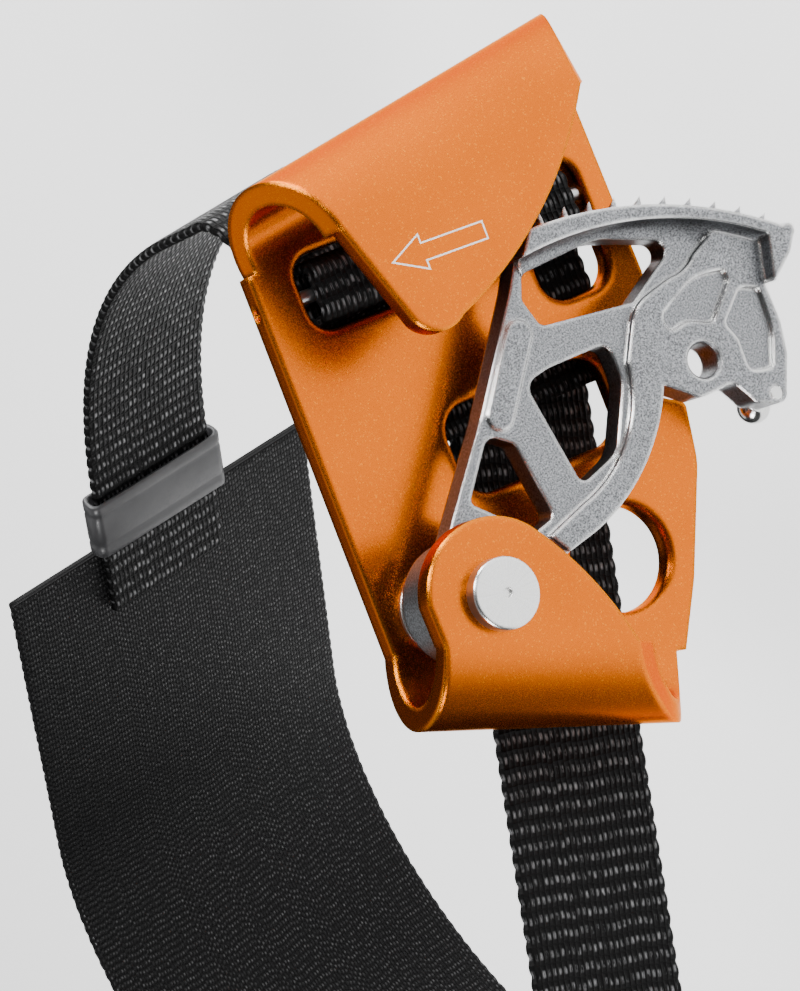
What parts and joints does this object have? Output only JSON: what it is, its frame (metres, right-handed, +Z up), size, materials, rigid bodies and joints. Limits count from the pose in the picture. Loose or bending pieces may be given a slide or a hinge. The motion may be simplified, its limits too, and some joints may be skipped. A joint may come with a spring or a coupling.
{
  "type": "foot ascender",
  "caption": "Right-foot rope ascender: bent plate frame, sprung toothed cam on a rivet, and a webbing foot loop with a ladder buckle and clear keeper.",
  "frame": {"origin": "on the rope axis, at the middle of the rope channel's length", "axes": "+Z runs up the rope, -Y faces the viewer of the flaps and the rivet head, +X points from the cam axle to the rope"},
  "size_m": [0.219, 0.1999, 0.1278],
  "materials": {
    "anodised_plate": "orange anodised, satin, fine sparkle",
    "cast_steel": "blasted casting with polished edges",
    "turned_steel": "turned, bright",
    "spring_steel": "drawn wire",
    "black_webbing": "woven polyester",
    "grey_band": "woven, matt",
    "buckle_steel": "tumbled steel",
    "clear_keeper": "milky, slightly clear",
    "dark_thread": "sewing thread"
  },
  "bodies": {
    "frame": {"frame": "anodised_plate", "axle": "turned_steel", "sleeve": "turned_steel", "washer_front": "turned_steel", "washer_rear": "turned_steel", "rivet_washer": "turned_steel", "cam_spring": "spring_steel", "strap_pin": "turned_steel", "anchor_tab": "black_webbing", "upper_strap": "black_webbing", "arch_band": "grey_band", "lower_strap": "black_webbing", "buckle": "buckle_steel", "closing_strap": "black_webbing", "keeper": "clear_keeper", "stitches_upper": "dark_thread", "stitches_lower": "dark_thread", "stitches_band": "dark_thread", "stitches_closing": "dark_thread"},
    "cam": {"cam": "cast_steel", "thumb_stud": "turned_steel"}
  },
  "joints": [
    {"name": "cam_pivot", "type": "hinge", "parent": "frame", "child": "cam", "pos_m": [-0.0565, 0, 0.03], "axis": [0, -1, 0], "range_deg": [-15, 32.5], "stiffness_Nm_per_rad": 0.06, "springref_deg": 68.75}
  ]
}
